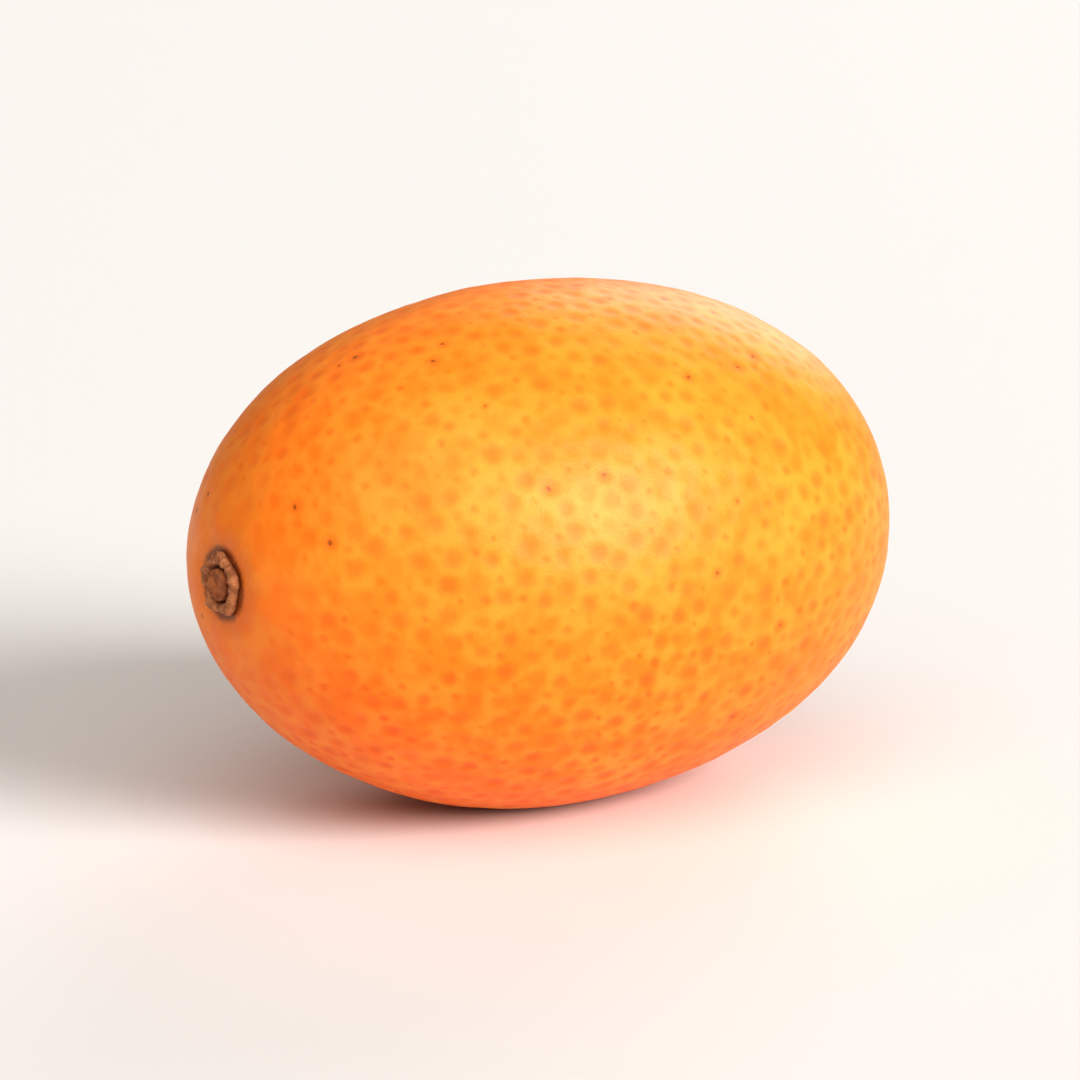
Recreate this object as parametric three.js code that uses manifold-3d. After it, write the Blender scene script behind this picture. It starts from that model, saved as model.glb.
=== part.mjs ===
// A whole oval kumquat lying on its side, in millimetres, +Z up.
// The fruit's long axis runs along X, with the stem end towards -X and the blossom end towards +X.
// The origin is the centre of the small flat spot that the fruit rests on, under its widest section.
import * as THREE from 'three';
import { mergeVertices } from 'three/addons/utils/BufferGeometryUtils.js';
import Module from 'manifold-3d';

const wasm = await Module();
wasm.setup();

// Fruit
const RADIUS = 13.2; // at the widest section
const STEM_HALF = 18.8; // widest section to the stem end
const BLOSSOM_HALF = 18.5; // widest section to the blossom end
const STEM_BLUNTNESS = 0.49; // exponent of the side's curve: 0.5 is an ellipse, and less is blunter
const BLOSSOM_BLUNTNESS = 0.37;
const BOW = 0.4; // how far the stem end is bent upwards
const OVALITY = 0.008; // share by which the cross-section is out of round
const REST_DEPTH = 0.3; // depth of the flat spot below the round side
const DIMPLE_DEPTH = 0.5; // at the stem end
const DIMPLE_RADIUS = 3.2;

// Dried remains on its two ends
const CALYX_RADIUS = 1.55; // to the middle of a lobe's flank
const CALYX_LOBES = 5;
const LOBE_REACH = 0.08; // share by which a lobe's tip and notch leave that radius
const CALYX_THICKNESS = 0.5; // around the stem, thinning to the lobes' edge
const CALYX_EDGE = 0.22;
const STEM_RADIUS = 0.8;
const STEM_LENGTH = 0.5;
const STEM_BEVEL = 0.12;
const STYLE_RADIUS = 0.42;
const STYLE_LENGTH = 0.35;
const GAP = 0.1; // between pieces that grew together

// Facets
const RINGS = 20; // of skin on each half
const RING_CROWDING = 1.4; // above 1, rings stand closer near the ends
const FRUIT_SIDES = 64;
const CALYX_SIDES = 60;
const SMALL_SIDES = 24;

const AXIS_HEIGHT = RADIUS - REST_DEPTH;

// How far the dimple lowers the stem end's skin, at a distance r from the axis.
function dimple(r) {
	return r < DIMPLE_RADIUS ? DIMPLE_DEPTH * Math.cos((Math.PI / 2) * (r / DIMPLE_RADIUS)) ** 2 : 0;
}

// Height of the stem end's skin above the bottom of its dimple, at a distance r from the axis.
function stemSkin(r) {
	const crown = STEM_HALF * Math.sqrt(1 - (r / RADIUS) ** (1 / STEM_BLUNTNESS));
	return crown - dimple(r) - (STEM_HALF - DIMPLE_DEPTH);
}

// The fruit's side, from the stem's pole to the blossom's, as distances from and along the axis.
function fruitProfile() {
	const points = [];
	for (let ring = -RINGS; ring <= RINGS; ring++) {
		const half = ring < 0 ? STEM_HALF : BLOSSOM_HALF;
		const bluntness = ring < 0 ? STEM_BLUNTNESS : BLOSSOM_BLUNTNESS;
		const angle = (Math.PI / 2) * (1 - Math.abs(ring) / RINGS) ** RING_CROWDING;
		const r = RADIUS * Math.sin(angle) ** (2 * bluntness);
		const along = half * Math.cos(angle) - (ring < 0 ? dimple(r) : 0);
		points.push(new THREE.Vector2(r, Math.sign(ring) * along));
	}
	return points;
}

// Makes a turned shape a little uneven, as a grown fruit is: out of round, and bowed up at the stem end.
function growUnevenly(geometry) {
	const position = geometry.getAttribute('position');
	const point = new THREE.Vector3();
	for (let i = 0; i < position.count; i++) {
		point.fromBufferAttribute(position, i);
		const angle = Math.atan2(point.z, point.y);
		const swell = 1 + OVALITY * (Math.cos(2 * angle) + 0.6 * Math.sin(3 * angle));
		point.y *= swell;
		point.z *= swell;
		point.z += BOW * (Math.min(point.x, 0) / STEM_HALF) ** 2;
		position.setXYZ(i, point.x, point.y, point.z);
	}
	return geometry;
}

function toSolid(geometry) {
	const bare = new THREE.BufferGeometry().setAttribute('position', geometry.getAttribute('position'));
	bare.setIndex(geometry.getIndex());
	const merged = mergeVertices(bare, 1e-4);
	const triVerts = new Uint32Array(merged.getIndex().array);
	const vertProperties = merged.getAttribute('position').array;
	return new wasm.Manifold(new wasm.Mesh({ numProp: 3, vertProperties, triVerts }));
}

function toGeometry(solid) {
	const mesh = solid.getMesh();
	const geometry = new THREE.BufferGeometry();
	geometry.setAttribute('position', new THREE.BufferAttribute(mesh.vertProperties, 3));
	geometry.setIndex(new THREE.BufferAttribute(mesh.triVerts, 1));
	geometry.computeVertexNormals();
	return geometry;
}

// Skin, pith, pulp and seeds as the one solid they grew as, with its flat spot cut below.
function makeFruit() {
	const turned = new THREE.LatheGeometry(fruitProfile(), FRUIT_SIDES);
	turned.rotateZ(-Math.PI / 2);
	const table = new THREE.BoxGeometry(4 * RADIUS, 4 * RADIUS, 2 * RADIUS);
	table.translate(0, 0, -AXIS_HEIGHT - RADIUS);
	const rested = toSolid(growUnevenly(turned)).subtract(toSolid(table));
	const skin = new THREE.MeshStandardMaterial({ color: 0xf98a12, roughness: 0.4, metalness: 0 });
	const mesh = new THREE.Mesh(toGeometry(rested), skin);
	mesh.name = 'fruit';
	mesh.position.z = AXIS_HEIGHT;
	return mesh;
}

// The dried calyx: a thin ring with blunt lobes that follows the dimple. Its own +Z points out of the fruit.
function makeCalyx() {
	const inner = STEM_RADIUS + GAP;
	const section = [
		new THREE.Vector2(inner, 0),
		new THREE.Vector2((inner + CALYX_RADIUS) / 2, 0),
		new THREE.Vector2(CALYX_RADIUS, 0),
		new THREE.Vector2(CALYX_RADIUS, CALYX_EDGE),
		new THREE.Vector2((inner + CALYX_RADIUS) / 2, CALYX_THICKNESS),
		new THREE.Vector2(inner, CALYX_THICKNESS),
		new THREE.Vector2(inner, 0),
	];
	const ring = new THREE.LatheGeometry(section, CALYX_SIDES);
	ring.rotateX(Math.PI / 2);
	const position = ring.getAttribute('position');
	const point = new THREE.Vector3();
	for (let i = 0; i < position.count; i++) {
		point.fromBufferAttribute(position, i);
		const r = Math.hypot(point.x, point.y);
		const outwards = (r - inner) / (CALYX_RADIUS - inner);
		const lobe = LOBE_REACH * Math.cos(CALYX_LOBES * Math.atan2(point.y, point.x));
		const reach = r * (1 + lobe * outwards);
		position.setXYZ(i, (point.x * reach) / r, (point.y * reach) / r, point.z + stemSkin(reach) + GAP);
	}
	const dried = new THREE.MeshStandardMaterial({ color: 0xb0713c, roughness: 0.8, metalness: 0 });
	const mesh = new THREE.Mesh(ring, dried);
	mesh.name = 'calyx';
	return mesh;
}

// A short round stub that stands on +Z, with a bevelled end.
function makeStub(name, radius, length, bevel, color) {
	const section = [
		new THREE.Vector2(0, 0),
		new THREE.Vector2(radius, 0),
		new THREE.Vector2(radius, length - bevel),
		new THREE.Vector2(radius - bevel, length),
		new THREE.Vector2(0, length),
	];
	const turned = new THREE.LatheGeometry(section, SMALL_SIDES);
	turned.rotateX(Math.PI / 2);
	const mesh = new THREE.Mesh(turned, new THREE.MeshStandardMaterial({ color, roughness: 0.85, metalness: 0 }));
	mesh.name = name;
	return mesh;
}

const stemStub = makeStub('stem_stub', STEM_RADIUS, STEM_LENGTH, STEM_BEVEL, 0x8a4a1c);
stemStub.position.z = stemSkin(STEM_RADIUS) + GAP;

const stemEnd = new THREE.Group();
stemEnd.position.set(DIMPLE_DEPTH - STEM_HALF, 0, AXIS_HEIGHT + BOW);
stemEnd.rotation.y = -Math.PI / 2;
stemEnd.add(makeCalyx(), stemStub);

const styleTip = makeStub('style_tip', STYLE_RADIUS, STYLE_LENGTH, STYLE_RADIUS / 2, 0x3a1c10);
styleTip.position.set(BLOSSOM_HALF + GAP, 0, AXIS_HEIGHT);
styleTip.rotation.y = Math.PI / 2;

const kumquat = new THREE.Group();
kumquat.add(makeFruit(), stemEnd, styleTip);

export default kumquat;
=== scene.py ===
# %% [markdown]
# # A whole kumquat
#
# A kumquat is an oval citrus fruit about as long as a thumb's end joint. It grows as one piece, under a
# thin waxy peel full of oil glands. What stays on it after picking is dry: the calyx with the broken
# stem at one end, and the tip of the flower's style at the other. The CAD model gives each of these its
# true size and place. This script gives them their living surface, and changes no size.

import math
import random

import bmesh
import bpy
import numpy as np
from mathutils import Matrix, Vector, noise
from mathutils.kdtree import KDTree


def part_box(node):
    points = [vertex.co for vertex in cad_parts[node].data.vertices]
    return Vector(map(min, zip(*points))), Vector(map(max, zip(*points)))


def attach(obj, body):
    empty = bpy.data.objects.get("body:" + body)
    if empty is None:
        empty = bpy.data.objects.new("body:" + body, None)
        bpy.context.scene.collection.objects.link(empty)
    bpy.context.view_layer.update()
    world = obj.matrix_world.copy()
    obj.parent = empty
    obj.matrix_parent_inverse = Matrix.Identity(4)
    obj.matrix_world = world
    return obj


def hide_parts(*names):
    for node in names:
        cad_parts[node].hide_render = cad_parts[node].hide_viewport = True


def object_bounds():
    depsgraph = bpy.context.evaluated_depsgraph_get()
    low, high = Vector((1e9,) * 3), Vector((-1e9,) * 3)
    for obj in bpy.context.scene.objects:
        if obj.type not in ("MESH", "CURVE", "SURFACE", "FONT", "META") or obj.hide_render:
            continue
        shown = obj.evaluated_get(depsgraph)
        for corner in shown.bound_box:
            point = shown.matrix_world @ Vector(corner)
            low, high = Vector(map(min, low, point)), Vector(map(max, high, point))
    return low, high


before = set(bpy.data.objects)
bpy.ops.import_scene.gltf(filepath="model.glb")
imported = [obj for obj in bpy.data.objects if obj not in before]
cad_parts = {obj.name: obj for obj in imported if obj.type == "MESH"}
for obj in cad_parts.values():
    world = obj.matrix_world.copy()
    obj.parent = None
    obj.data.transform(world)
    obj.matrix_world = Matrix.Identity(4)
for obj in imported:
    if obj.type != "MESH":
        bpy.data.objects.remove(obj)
cad_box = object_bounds()
MM = 0.001  # the scene is in metres, and measures below are given in millimetres

print("CAD nodes:", sorted(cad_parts))
print("CAD box, mm:", [[round(c / MM, 2) for c in corner] for corner in cad_box])

# %% [markdown]
# ## The fruit's form
#
# Seen from the side, the stem half of the fruit is nearly half an ellipse, and the blossom half is
# clearly blunter, like an egg's thick end. A formula says this better than a list of points. It takes a
# direction from the fruit's middle and gives the place of the skin there, so any mesh of a ball can be
# turned into the fruit. Nothing grown is perfectly round, so the section is slightly three-cornered, and
# the stem end bends up.

# %% Measures of the form
STEM_BLUNTNESS = 0.49  # 0.5 is an ellipse, and less is blunter
BLOSSOM_BLUNTNESS = 0.37
OVALITY = 0.008
STEM_HALF = 18.8 * MM
STEM_DIMPLE = (0.5 * MM, 3.2 * MM)  # depth and radius
BLOSSOM_DIMPLE = (0.22 * MM, 1.7 * MM)

fruit_low, fruit_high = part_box("fruit")
stub_low, stub_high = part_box("stem_stub")
tip_low, tip_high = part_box("style_tip")

radius = (fruit_high.y - fruit_low.y) / 2 / (1 + OVALITY)
blossom_half = fruit_high.x
axis_height = (tip_low.z + tip_high.z) / 2
bow = (stub_low.z + stub_high.z) / 2 - axis_height
print(f"radius {radius / MM:.2f}, axis height {axis_height / MM:.2f}, bow {bow / MM:.2f} mm")


def dimple(r, size):
    """How far a dimple lowers the skin at a distance r from its middle."""
    depth, reach = size
    return depth * np.cos(np.pi / 2 * np.clip(r / reach, 0, 1)) ** 2


def skin_form(directions):
    """Where the skin is in each unit direction from the fruit's middle, before its glands."""
    x, y, z = directions.T
    r = radius * np.clip(1 - x**2, 0, 1) ** np.where(x < 0, STEM_BLUNTNESS, BLOSSOM_BLUNTNESS)
    stem_side = STEM_HALF * x + dimple(r, STEM_DIMPLE)
    blossom_side = blossom_half * x - dimple(r, BLOSSOM_DIMPLE)
    along = np.where(x < 0, stem_side, blossom_side)
    angle = np.arctan2(z, y)
    r *= 1 + OVALITY * (np.cos(2 * angle) + 0.6 * np.sin(3 * angle))
    rise = bow * (np.minimum(along, 0) / STEM_HALF) ** 2
    return np.stack([along, r * np.cos(angle), r * np.sin(angle) + rise + axis_height], axis=1)


# %% [markdown]
# ## A ball of even faces
#
# A ball made of meridians has long thin faces at its poles, and the fruit's two poles are just where
# its stem and its style sit. So the ball starts as a cube, cut into a fine grid and blown up. All
# faces then have about the same size, 0.2 mm or less, fine enough for a gland half a millimetre wide.

# %% The ball
GRID_CUTS = 127


def unit(vectors):
    return vectors / np.linalg.norm(vectors, axis=1, keepdims=True)


def fine_ball(name):
    """A mesh of a ball, cut as a cube is, and the unit direction of each of its vertices."""
    bm = bmesh.new()
    bmesh.ops.create_cube(bm, size=2)
    bmesh.ops.subdivide_edges(bm, edges=bm.edges[:], cuts=GRID_CUTS, use_grid_fill=True)
    for face in bm.faces:
        face.smooth = True
    mesh = bpy.data.meshes.new(name)
    bm.to_mesh(mesh)
    bm.free()
    places = np.empty(len(mesh.vertices) * 3, np.float32)
    mesh.vertices.foreach_get("co", places)
    # Even steps of angle, and not of length, along each side of the cube keep the faces alike.
    return mesh, unit(np.tan(places.reshape(-1, 3).astype(float) * np.pi / 4))


def move_vertices(mesh, places):
    mesh.vertices.foreach_set("co", places.astype(np.float32).ravel())
    mesh.update()


def vertex_normals(mesh):
    normals = np.empty(len(mesh.vertices) * 3, np.float32)
    mesh.vertices.foreach_get("normal", normals)
    return normals.reshape(-1, 3).astype(float)


skin_mesh, directions = fine_ball("fruit_skin")
form = skin_form(directions)
move_vertices(skin_mesh, form)
print("skin:", len(skin_mesh.vertices), "vertices")

# %% [markdown]
# ## Oil glands
#
# The peel is dotted with oil glands. They crowd each other as they grow, so they lie evenly but in no
# pattern, each a little pit in the skin, with smaller and younger ones in the gaps. Points picked
# in random order, each claiming the skin around it, lie just so. The mesh then stores how far
# each vertex is from its gland's middle, counted in that gland's radii. Both the pits and the peel's
# colours read that one number, so they always agree.

# %% Where the glands are
GLAND_SPACING = 1.18 * MM
GLAND_RADIUS = (0.4 * MM, 0.6 * MM)
YOUNG_SPACING = 0.84 * MM
YOUNG_RADIUS = (0.18 * MM, 0.34 * MM)
BARE_AROUND_STEM = (2.0 * MM, 7.5 * MM)  # glands hardly show up to the first, and fully from the second
LEAST_MATURITY = 0.12  # of the glands nearest to the stem
OUTLINE_WOBBLE = (0.35 * MM, 0.16)  # width of the waves in a gland's outline, and their share of its radius
FARTHEST_REACH = 4  # in a gland's radii: no need to count farther
random.seed(11)


def tree_of(points):
    tree = KDTree(len(points))
    for index, point in enumerate(points):
        tree.insert(point, index)
    tree.balance()
    return tree


def settle(points, tree, order, spacing, claimed):
    """Picks points in the given order, none nearer to another than spacing, and marks the ones claimed."""
    picked = []
    for index in order:
        if claimed[index]:
            continue
        picked.append(index)
        for _, near, _ in tree.find_range(points[index], spacing):
            claimed[near] = True
    return picked


skin_tree = tree_of(form)
order = list(range(len(form)))
random.shuffle(order)
claimed = [False] * len(form)
grown = settle(form, skin_tree, order, GLAND_SPACING, claimed)

claimed = [False] * len(form)
for index in grown:
    for _, near, _ in skin_tree.find_range(form[index], YOUNG_SPACING):
        claimed[near] = True
young = settle(form, skin_tree, order, YOUNG_SPACING, claimed)

glands = form[grown + young]
grown_radii = [random.uniform(*GLAND_RADIUS) for _ in grown]
young_radii = [random.uniform(*YOUNG_RADIUS) for _ in young]
gland_radii = np.array(grown_radii + young_radii)
gland_tones = np.array([random.random() for _ in glands])
print(len(grown), "grown glands and", len(young), "young ones")


# %% What each vertex knows of its gland
def smooth_rise(value, low, high):
    """0 below low, 1 above high, and an S-curve between them."""
    share = np.clip((value - low) / (high - low), 0, 1)
    return share * share * (3 - 2 * share)


def field(points, scale, seed):
    """Soft random values between about -1 and 1 that change over a distance of scale."""
    shift = Vector((seed, 2 * seed, 3 * seed))
    return np.array([noise.noise(Vector(point) / scale + shift) for point in points])


gland_tree = tree_of(glands)
nearest = [gland_tree.find_n(point, 4) for point in form]
distances = np.array([[found[2] for found in near] for near in nearest])
owners = np.array([[found[1] for found in near] for near in nearest])
in_radii = distances / gland_radii[owners]
closest = np.argmin(in_radii, axis=1)
rows = np.arange(len(form))
gland_owner = owners[rows, closest]
wobble = 1 + OUTLINE_WOBBLE[1] * field(form, OUTLINE_WOBBLE[0], 5)
gland_reach = np.minimum(in_radii[rows, closest] * wobble, FARTHEST_REACH)

stem_point = np.array([-STEM_HALF, 0, axis_height + bow])
from_stem = np.linalg.norm(form - stem_point, axis=1)
maturity = LEAST_MATURITY + (1 - LEAST_MATURITY) * smooth_rise(from_stem, *BARE_AROUND_STEM)

# %% [markdown]
# ## Pits, swellings and the spot it lies on
#
# The skin sinks into each gland by two or three hundredths of a millimetre, and less near the stem.
# That is less than a hair's breadth, but it breaks every reflection into the peel's net. A bump
# in the material would do so too, but these pits stay when only the mesh is used. Wider swellings keep
# the fruit from looking turned on a lathe, faint furrows run to the stem, and where the fruit lies, its
# weight has pressed a small spot flat.

# %% The relief
PIT_DEPTH = 0.055  # of a gland's radius
PIT_EDGE = (0.1, 1.35)  # where a pit's wall begins and ends, in its gland's radii
SWELLINGS = ((6.5 * MM, 0.085 * MM), (2.4 * MM, 0.03 * MM), (1.1 * MM, 0.012 * MM))  # width and height
FURROWS = 9
FURROW_DEPTH = 0.02 * MM
FURROW_REACH = (1.6 * MM, 2.6 * MM, 6.5 * MM)  # from the stem's middle: start, deepest and end
REST_SOFTNESS = 0.15 * MM  # how gently the flat spot's edge turns up

pits = PIT_DEPTH * gland_radii[gland_owner] * (1 - smooth_rise(gland_reach, *PIT_EDGE)) * maturity
relief = -pits
for seed, (width, height) in enumerate(SWELLINGS):
    relief += height * field(form, width, 20 + seed)

around_stem = np.arctan2(form[:, 2] - stem_point[2], form[:, 1])
furrow_window = smooth_rise(from_stem, *FURROW_REACH[:2]) * (1 - smooth_rise(from_stem, *FURROW_REACH[1:]))
furrow_wave = np.cos(FURROWS * around_stem + 1.5 * field(form, 5 * MM, 31))
relief += FURROW_DEPTH * furrow_wave * furrow_window

places = form + vertex_normals(skin_mesh) * relief[:, None]
pressed = REST_SOFTNESS * np.exp(np.minimum(places[:, 2] / REST_SOFTNESS - 1, 0))
places[:, 2] = np.where(places[:, 2] < REST_SOFTNESS, pressed, places[:, 2])
move_vertices(skin_mesh, places)


def store(mesh, name, values):
    mesh.attributes.new(name, "FLOAT", "POINT").data.foreach_set("value", values.astype(np.float32))


store(skin_mesh, "gland_reach", gland_reach)
store(skin_mesh, "gland_tone", gland_tones[gland_owner])
store(skin_mesh, "maturity", maturity)
print(f"deepest pit {pits.max() / MM:.3f} mm")

# %% [markdown]
# ## A way to write finishes
#
# A finish is a network of shader nodes. Written out node by node, it hides what it works out, so
# a small class wraps a node's output and lets Python's own signs add the Math nodes. One method adds
# any other node: first its settings, then the values or links of its sockets.


# %% Finishes in Python
class Value:
    """What a node gives out. Arithmetic on it adds Math nodes to its finish."""

    def __init__(self, finish, socket):
        self.finish = finish
        self.socket = socket

    def __add__(self, other):
        return self.finish.math("ADD", self, other)

    def __sub__(self, other):
        return self.finish.math("SUBTRACT", self, other)

    def __rsub__(self, other):
        return self.finish.math("SUBTRACT", other, self)

    def __mul__(self, other):
        return self.finish.math("MULTIPLY", self, other)

    __radd__ = __add__
    __rmul__ = __mul__


class Finish:
    """A material around one Principled shader."""

    def __init__(self, name, **shader):
        self.material = bpy.data.materials.new(name)
        self.material.use_nodes = True
        self.tree = self.material.node_tree
        self.shader = self.tree.nodes["Principled BSDF"]
        self.where = self.node("TexCoord", output="Object")
        self.set(shader)

    def set(self, sockets):
        for name, value in sockets.items():
            self.feed(self.shader.inputs[name], value)

    def feed(self, socket, value):
        if isinstance(value, Value):
            self.tree.links.new(value.socket, socket)
        else:
            socket.default_value = value

    def node(self, kind, settings=None, sockets=None, output=None):
        """Adds a node. A socket is named by its number, or by its name among the ones in use."""
        node = self.tree.nodes.new("ShaderNode" + kind)
        for name, value in (settings or {}).items():
            if name == "stops":
                self.set_stops(node.color_ramp, value)
            else:
                setattr(node, name, value)
        for name, value in (sockets or {}).items():
            if isinstance(name, int):
                self.feed(node.inputs[name], value)
            else:
                self.feed(next(s for s in node.inputs if s.enabled and s.name == name), value)
        return Value(self, next(s for s in node.outputs if s.enabled and output in (None, s.name)))

    def set_stops(self, ramp, stops):
        while len(ramp.elements) < len(stops):
            ramp.elements.new(1)
        for element, (position, colour) in zip(ramp.elements, stops):
            element.position = position
            element.color = colour

    def math(self, operation, *terms):
        return self.node("Math", {"operation": operation}, dict(enumerate(terms)))

    def rise(self, value, low, high):
        """0 where value is at low, 1 where it is at high, and an S-curve between them."""
        ends = {"Value": value, "From Min": low, "From Max": high}
        return self.node("MapRange", {"interpolation_type": "SMOOTHSTEP"}, ends)

    def blend(self, share, first, second):
        """first where share is 0 and second where it is 1."""
        return self.node("Mix", {"data_type": "RGBA"}, {"Factor": share, "A": first, "B": second})

    def grain(self, size, detail=2.0, roughness=0.5):
        """Soft random values between 0 and 1 that change over a distance of size."""
        sockets = {"Vector": self.where, "Scale": 1 / size, "Detail": detail, "Roughness": roughness}
        return self.node("TexNoise", {}, sockets)

    def stored(self, name):
        """A number that the mesh stores at each vertex."""
        return self.node("Attribute", {"attribute_name": name}, {}, output="Fac")

    def bump(self, height, distance, under=None):
        sockets = {"Height": height, "Distance": distance}
        if under:
            sockets["Normal"] = under
        return self.node("Bump", {}, sockets)


def rgb(red, green, blue):
    """A colour as a painter would read it from a chart, from 0 to 255, for a shader."""
    channels = [c / 255 for c in (red, green, blue)]
    return tuple(c / 12.92 if c <= 0.04045 else ((c + 0.055) / 1.055) ** 2.4 for c in channels) + (1.0,)


# %% [markdown]
# ## The waxy peel
#
# The peel is clear yellow-orange skin over deep orange glands. A gland shows as a darker, redder dot
# with a soft edge, since its oil swallows light, and here and there one has died and left a brown
# fleck. No fruit ripens evenly, so the skin is mottled. Shade is painted in on its lower side, which is
# deeper in colour, with stronger mottle and glands. Around the calyx the skin is duller, and painted
# shade darkens it brown under the calyx and along its edge.
#
# All this could be painted by hand on an image. Mixing it from the stored gland distance is finer and
# fits the pits exactly. Light also travels a little way inside the peel, which warms the shaded side, and
# a thin natural wax gives a broad soft gloss, slightly rougher inside the pits.

# %% Peel colours and measures
PALE_SKIN = rgb(255, 148, 42)
DEEP_SKIN = rgb(253, 118, 2)
GLAND = rgb(249, 108, 0)
DEEP_GLAND = rgb(240, 92, 0)
STEM_SKIN = rgb(214, 96, 4)
# the colour of the painted shade under the calyx and along its edge
PAINTED_GROOVE_SHADE = rgb(112, 46, 10)
FLECK_BROWN = rgb(92, 58, 14)

DRIFT_SIZE = 9 * MM  # of the broad changes of colour
MOTTLE_SIZE = 1.5 * MM
GRAIN_SIZE = 0.22 * MM
PORE_SIZE = 0.12 * MM
PAINTED_SHADE_HEIGHTS = (4 * MM, 18 * MM)  # painted shade: deepest below the first height, none above the second
PAINTED_SHADE_WANDER = 5 * MM  # how far the drift moves those heights
DOT_EDGE = (0.2, 1.35)  # where a gland's dot begins and ends to fade, in its radii
FLECK_EDGE = (0.1, 0.42)
FLECK_TONES = (0.975, 0.98)  # only glands with a higher tone have died
HALO = (1.4 * MM, 3.4 * MM)  # distances from the stem over which the duller skin fades
# distances from the stem: the painted shade is full up to the first and gone at the second
GROOVE_SHADE_REACH = (1.65 * MM, 2.05 * MM)


# %% Peel
def skin_colours(finish, reach, tone, maturity, fine):
    """The colour of the skin with its glands, flecks and painted shade, and how strongly a gland's dot
    shows.
    """
    drift = finish.rise(finish.grain(DRIFT_SIZE, detail=3), 0.35, 0.65)
    mottle = finish.rise(finish.grain(MOTTLE_SIZE, detail=2, roughness=0.6), 0.36, 0.64)
    height = finish.node("SeparateXYZ", {}, {"Vector": finish.where}, output="Z")
    # Painted shade: deeper orange towards the lower side, with stronger mottle there.
    painted_shade_below = 1 - finish.rise(height + (drift - 0.5) * PAINTED_SHADE_WANDER, *PAINTED_SHADE_HEIGHTS)
    depth = drift * 0.3 + mottle * (0.4 + painted_shade_below * 0.3) + painted_shade_below * 0.3
    skin = finish.blend(depth, PALE_SKIN, DEEP_SKIN)

    gland = finish.blend(tone, GLAND, DEEP_GLAND)
    soft_reach = reach + (fine - 0.5) * 0.5
    # The painted shade on the lower side also makes the gland dots stronger there.
    strength = (0.24 + tone * 0.28 + painted_shade_below * 0.42) * maturity
    dot = (1 - finish.rise(soft_reach, *DOT_EDGE)) * strength
    fleck = finish.rise(tone, *FLECK_TONES) * (1 - finish.rise(soft_reach, *FLECK_EDGE))
    return finish.blend(fleck * 0.7, finish.blend(dot, skin, gland), FLECK_BROWN), dot


def around_the_stem(finish, colour, fine):
    """The colour with the duller skin, and painted shade in dark brown under the calyx and along its edge.
    """
    points = {0: finish.where, 1: Vector(stem_point)}
    distance = finish.node("VectorMath", {"operation": "DISTANCE"}, points)
    halo = 1 - finish.rise(distance + (fine - 0.5) * (0.8 * MM), *HALO)
    colour = finish.blend(halo * 0.6, colour, STEM_SKIN)
    # Painted shade: dark brown under the calyx and in a thin band along its edge, where the gap lies in
    # shadow.
    groove_shade = 1 - finish.rise(distance + (fine - 0.5) * (0.3 * MM), *GROOVE_SHADE_REACH)
    return finish.blend(groove_shade * 0.85, colour, PAINTED_GROOVE_SHADE)


def peel_finish():
    finish = Finish("waxy_peel")
    reach = finish.stored("gland_reach")
    tone = finish.stored("gland_tone")
    maturity = finish.stored("maturity")
    fine = finish.grain(GRAIN_SIZE, detail=3)

    colour, dot = skin_colours(finish, reach, tone, maturity, fine)
    colour = around_the_stem(finish, colour, fine)
    gloss = 0.41 + fine * 0.08 + dot * 0.05
    normal = finish.bump(finish.grain(PORE_SIZE, detail=2), 0.012 * MM)
    normal = finish.bump(1 - finish.rise(reach, 0.2, 1.1), -0.006 * MM, under=normal)
    finish.set({"Base Color": colour, "Roughness": gloss, "Normal": normal})
    finish.set({
        "Specular IOR Level": 0.52,
        "Specular Tint": (1.0, 0.85, 0.57, 1.0),
        "Subsurface Weight": 0.15,
        "Subsurface Radius": (1.0, 0.3, 0.05),
        "Subsurface Scale": 0.8 * MM,
    })
    return finish.material


# %% Placing pieces
def piece(name, mesh, material, node):
    """Shows a finished mesh in place of its CAD node, riding on the one body that the fruit has."""
    thing = bpy.data.objects.new(name, mesh)
    bpy.context.scene.collection.objects.link(thing)
    mesh.materials.append(material)
    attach(thing, "root")
    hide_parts(node)
    return thing


piece("fruit_skin", skin_mesh, peel_finish(), "fruit")

# %% [markdown]
# ## The dried calyx
#
# Five short blunt lobes, once green sepals, hold on around the stem as a thin dry ring. A profile
# spun round the stem makes the ring as one closed skin. Its vertices are then pushed out into lobes,
# curled and wrinkled, more towards the edge, as drying does to a leaf.

# %% Calyx
CALYX_LOBES = 5
LOBE_REACH = 0.08
CALYX_RADIUS = 1.55 * MM
CALYX_HEIGHT = 0.5 * MM
STUB_RADIUS = (stub_high.y - stub_low.y) / 2
SEAM = 0.1 * MM  # between the calyx and the stem
RING_STEPS = 80

stem_seat = Matrix.Translation((STEM_DIMPLE[0] - STEM_HALF, 0, axis_height + bow))
stem_seat = stem_seat @ Matrix.Rotation(-math.pi / 2, 4, "Y")


def stem_skin(r):
    """Height of the skin above the bottom of the stem's dimple, at a distance r from its middle."""
    crown = STEM_HALF * (math.sqrt(1 - (r / radius) ** (1 / STEM_BLUNTNESS)) - 1)
    return crown + STEM_DIMPLE[0] - float(dimple(r, STEM_DIMPLE))


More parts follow.
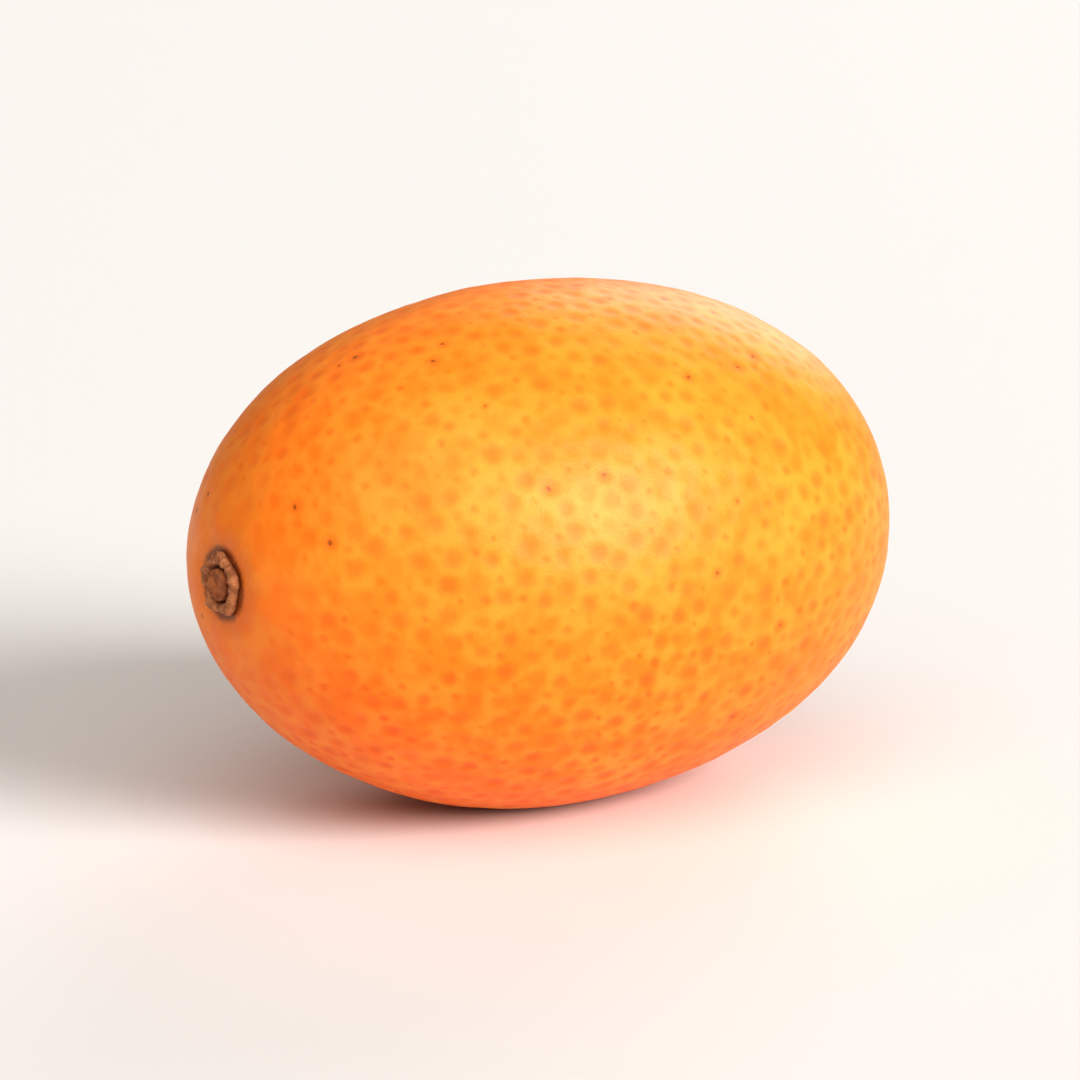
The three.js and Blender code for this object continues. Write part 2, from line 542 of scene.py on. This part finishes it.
def ring_bmesh(outline, steps):
    """The closed outline of (distance from the axis, height) points, spun round the axis Z."""
    bm = bmesh.new()
    corners = [bm.verts.new((r, 0, z)) for r, z in outline]
    edges = [bm.edges.new((a, b)) for a, b in zip(corners, corners[1:] + corners[:1])]
    bmesh.ops.spin(
        bm, geom=corners + edges, cent=(0, 0, 0), axis=(0, 0, 1), dvec=(0, 0, 0),
        angle=2 * math.pi, steps=steps, use_merge=True, use_duplicate=False,
    )
    bmesh.ops.remove_doubles(bm, verts=bm.verts[:], dist=0.001 * MM)
    bmesh.ops.recalc_face_normals(bm, faces=bm.faces[:])
    return bm


def finished_mesh(bm, name, seat):
    """Smooths a bmesh's shading, puts it in its place in the frame, and makes a mesh of it."""
    for face in bm.faces:
        face.smooth = True
    bmesh.ops.transform(bm, matrix=seat, verts=bm.verts[:])
    mesh = bpy.data.meshes.new(name)
    bm.to_mesh(mesh)
    bm.free()
    return mesh


def calyx_bmesh():
    inner = STUB_RADIUS + SEAM
    width = CALYX_RADIUS - inner
    outline = [
        (inner, -0.05 * MM),
        (inner + 0.5 * width, -0.05 * MM),
        (CALYX_RADIUS, 0),
        (CALYX_RADIUS + 0.02 * width, 0.5 * CALYX_HEIGHT),
        (inner + 0.75 * width, 0.86 * CALYX_HEIGHT),
        (inner + 0.45 * width, CALYX_HEIGHT),
        (inner + 0.12 * width, 0.8 * CALYX_HEIGHT),
        (inner, 0.3 * CALYX_HEIGHT),
    ]
    bm = ring_bmesh(outline, RING_STEPS)
    for vert in bm.verts:
        r = math.hypot(vert.co.x, vert.co.y)
        angle = math.atan2(vert.co.y, vert.co.x)
        outwards = (r - inner) / width
        top = max(vert.co.z, 0) / CALYX_HEIGHT
        lobe = math.cos(CALYX_LOBES * angle)
        wrinkle = noise.noise(Vector((4 * math.cos(angle), 4 * math.sin(angle), r / MM)) * 1.7)
        reach = r * (1 + outwards * (LOBE_REACH * lobe - 0.03 + 0.05 * wrinkle))
        rib = 0.12 * CALYX_HEIGHT * math.cos(3 * CALYX_LOBES * angle + 2 * wrinkle)
        curl = 0.15 * CALYX_HEIGHT * outwards**2 * lobe
        height = vert.co.z + top * (rib + curl + 0.3 * CALYX_HEIGHT * wrinkle)
        vert.co = (vert.co.x * reach / r, vert.co.y * reach / r, height + stem_skin(reach))
    return bm


def dry_finish(name, dark, light, edge, **shader):
    """Dead dry plant tissue: two browns in small patches, paler where the air has worn it."""
    finish = Finish(name, **shader)
    patches = finish.rise(finish.grain(0.45 * MM, detail=4, roughness=0.65), 0.38, 0.62)
    fibre = finish.grain(0.09 * MM, detail=3, roughness=0.7)
    worn = finish.rise(fibre, 0.52, 0.72)
    colour = finish.blend(patches, dark, light)
    colour = finish.blend(worn * 0.6, colour, edge)
    normal = finish.bump(fibre, 0.05 * MM)
    finish.set({"Base Color": colour, "Roughness": 0.7 + fibre * 0.25, "Normal": normal})
    return finish


def calyx_finish():
    finish = dry_finish("dry_calyx", rgb(150, 84, 42), rgb(194, 122, 74), rgb(226, 178, 136))
    finish.set({"Subsurface Weight": 0.05, "Subsurface Scale": 0.3 * MM})
    return finish.material


calyx_mesh = finished_mesh(calyx_bmesh(), "calyx_ring", stem_seat)
calyx = piece("calyx_ring", calyx_mesh, calyx_finish(), "calyx")


def smooth_further(thing, levels):
    """Rounds a coarse mesh's faces off, as much in the view as in the render."""
    modifier = thing.modifiers.new("Rounding", "SUBSURF")
    modifier.levels = levels
    modifier.render_levels = levels


smooth_further(calyx, 1)
print("calyx:", len(calyx_mesh.vertices), "vertices")

# %% [markdown]
# ## The stem stub
#
# The stem breaks off about level with the calyx. What is left is a short stub, with a rim of bark
# around a sunken, ragged middle. It starts as a disc that is extruded and inset, and the broken face is
# roughened by moving its vertices at random.

# %% Stem stub
STUB_HEIGHT = 0.5 * MM
STUB_SIDES = 36
# Each inset of the top: how far in, and how far up. A rounded rim, a sunken ring, and a raised middle.
STUB_INSETS = ((0.08, 0.02), (0.1, 0.0), (0.1, -0.1), (0.15, -0.05), (0.15, 0.04))


def stub_bmesh():
    bm = bmesh.new()
    base = bmesh.ops.create_circle(bm, cap_ends=True, segments=STUB_SIDES, radius=STUB_RADIUS)
    bmesh.ops.translate(bm, verts=base["verts"], vec=(0, 0, stem_skin(STUB_RADIUS)))
    grown = bmesh.ops.extrude_face_region(bm, geom=bm.faces[:])
    top = [item for item in grown["geom"] if isinstance(item, bmesh.types.BMFace)]
    bmesh.ops.translate(bm, verts=list({v for f in top for v in f.verts}), vec=(0, 0, STUB_HEIGHT))
    for thickness, depth in STUB_INSETS:
        bmesh.ops.inset_region(
            bm, faces=top, thickness=thickness * MM, depth=depth * MM,
            use_even_offset=True, use_boundary=True,
        )
    bmesh.ops.recalc_face_normals(bm, faces=bm.faces[:])
    floor = stem_skin(STUB_RADIUS)
    for vert in bm.verts:
        up = (vert.co.z - floor) / STUB_HEIGHT
        if up > 0.5:
            shake = noise.noise_vector(vert.co / (0.16 * MM))
            vert.co += Vector((0.035 * shake.x, 0.035 * shake.y, 0.09 * shake.z)) * MM
    return bm


def stub_finish():
    finish = dry_finish("dry_stem", rgb(142, 72, 30), rgb(184, 106, 54), rgb(214, 150, 98))
    return finish.material


stub_mesh = finished_mesh(stub_bmesh(), "broken_stem", stem_seat)
stub = piece("broken_stem", stub_mesh, stub_finish(), "stem_stub")
smooth_further(stub, 2)

# %% [markdown]
# ## The style's tip
#
# At the other end a dark point is left of the flower's style. It is smaller than a pin's head, so a
# short cone with a rounded, crooked end is enough. Its root goes a little way into the skin, so that no
# gap can show.

# %% Style tip
TIP_RADIUS = (tip_high.y - tip_low.y) / 2
TIP_ROOT = 0.2 * MM  # how far it goes into the skin in the blossom end's dimple
TIP_SIDES = 16
tip_length = tip_high.x - (blossom_half - BLOSSOM_DIMPLE[0]) + TIP_ROOT


def tip_bmesh():
    bm = bmesh.new()
    bmesh.ops.create_cone(
        bm, cap_ends=True, segments=TIP_SIDES, depth=tip_length,
        radius1=1.15 * TIP_RADIUS, radius2=0.55 * TIP_RADIUS,
    )
    bmesh.ops.translate(bm, verts=bm.verts[:], vec=(0, 0, tip_length / 2 - TIP_ROOT))
    upright = [e for e in bm.edges if abs(e.verts[0].co.z - e.verts[1].co.z) > 0.5 * tip_length]
    bmesh.ops.subdivide_edges(bm, edges=upright, cuts=4)
    ends = [f for f in bm.faces if len(f.verts) > 4]
    bmesh.ops.inset_region(
        bm, faces=ends, thickness=0.06 * MM, depth=0, use_even_offset=True, use_boundary=True,
    )
    for vert in bm.verts:
        shake = noise.noise_vector(vert.co / (0.25 * MM))
        vert.co += Vector((0.05 * shake.x, 0.05 * shake.y, 0.03 * shake.z)) * MM
    return bm


def tip_finish():
    finish = dry_finish("dry_style", rgb(30, 14, 8), rgb(72, 36, 18), rgb(110, 66, 36))
    return finish.material


blossom_seat = Matrix.Translation((blossom_half - BLOSSOM_DIMPLE[0], 0, axis_height))
blossom_seat = blossom_seat @ Matrix.Rotation(math.pi / 2, 4, "Y")
tip_mesh = finished_mesh(tip_bmesh(), "style_nib", blossom_seat)
tip = piece("style_nib", tip_mesh, tip_finish(), "style_tip")
smooth_further(tip, 2)

# %% [markdown]
# ## Floor, light and camera
#
# The fruit lies on a plain pale floor. One large soft light on the right makes the broad highlight, a
# weaker one high in front opens the shaded side, another behind draws the pale edge, and an even pale
# surround fills the rest. The camera stands a little above the fruit, with the stem end turned towards
# it, and a long lens keeps its shape true.
#
# The lights are suns, each as wide as a soft box would look. A near lamp would leave a pool of light on
# the floor, and a sun lights all of it alike.

# %% Floor
FLOOR_SIZE = 4.0


def floor_finish():
    finish = Finish("pale_floor", **{"Base Color": rgb(224, 223, 221), "Roughness": 0.8})
    return finish.material


bm = bmesh.new()
bmesh.ops.create_grid(bm, x_segments=1, y_segments=1, size=FLOOR_SIZE / 2)
floor = bpy.data.objects.new("floor", finished_mesh(bm, "floor", Matrix()))
bpy.context.scene.collection.objects.link(floor)
floor.data.materials.append(floor_finish())

# %% Light
VIEW_AZIMUTH = -35.4
VIEW_ELEVATION = 13.0
middle = (cad_box[0] + cad_box[1]) / 2


def outwards(azimuth, elevation):
    """The direction from the fruit to something seen from it at these angles, in degrees."""
    a, e = math.radians(azimuth), math.radians(elevation)
    return Vector((math.sin(a) * math.cos(e), -math.cos(a) * math.cos(e), math.sin(e)))


def aim(thing, azimuth, elevation, distance):
    """Stands a light or camera that far out, looking at the fruit."""
    out = outwards(azimuth, elevation)
    thing.location = middle + out * distance
    thing.rotation_euler = (-out).to_track_quat("-Z", "Y").to_euler()


def far_light(name, azimuth, elevation, width, strength):
    """A far round light, which falls evenly on the fruit and on the floor. width is in degrees."""
    light = bpy.data.lights.new(name, "SUN")
    light.angle = math.radians(width)
    light.energy = strength
    lamp = bpy.data.objects.new(name, light)
    bpy.context.scene.collection.objects.link(lamp)
    aim(lamp, azimuth, elevation, 1.0)


far_light("key", VIEW_AZIMUTH + 53, 25, 32, 4.3)
far_light("front", VIEW_AZIMUTH - 4, 52, 60, 1.4)
far_light("edge", VIEW_AZIMUTH + 162, 22, 30, 0.8)

world = bpy.data.worlds.new("pale_surround")
bpy.context.scene.world = world
world.use_nodes = True
world.node_tree.nodes["Background"].inputs["Color"].default_value = rgb(255, 240, 224)
world.node_tree.nodes["Background"].inputs["Strength"].default_value = 0.28

# %% Camera
LENS = 135.0
FRAME_WIDTH = 54 * MM  # of what is seen at the fruit's distance

camera_data = bpy.data.cameras.new("camera")
camera_data.lens = LENS
camera_data.clip_start = 0.01
camera = bpy.data.objects.new("camera", camera_data)
bpy.context.scene.collection.objects.link(camera)
aim(camera, VIEW_AZIMUTH, VIEW_ELEVATION, FRAME_WIDTH * LENS / camera_data.sensor_width)
bpy.context.scene.camera = camera
bpy.context.scene.view_settings.view_transform = "Standard"
bpy.context.scene.view_settings.gamma = 0.9  # a little more contrast and fuller colours
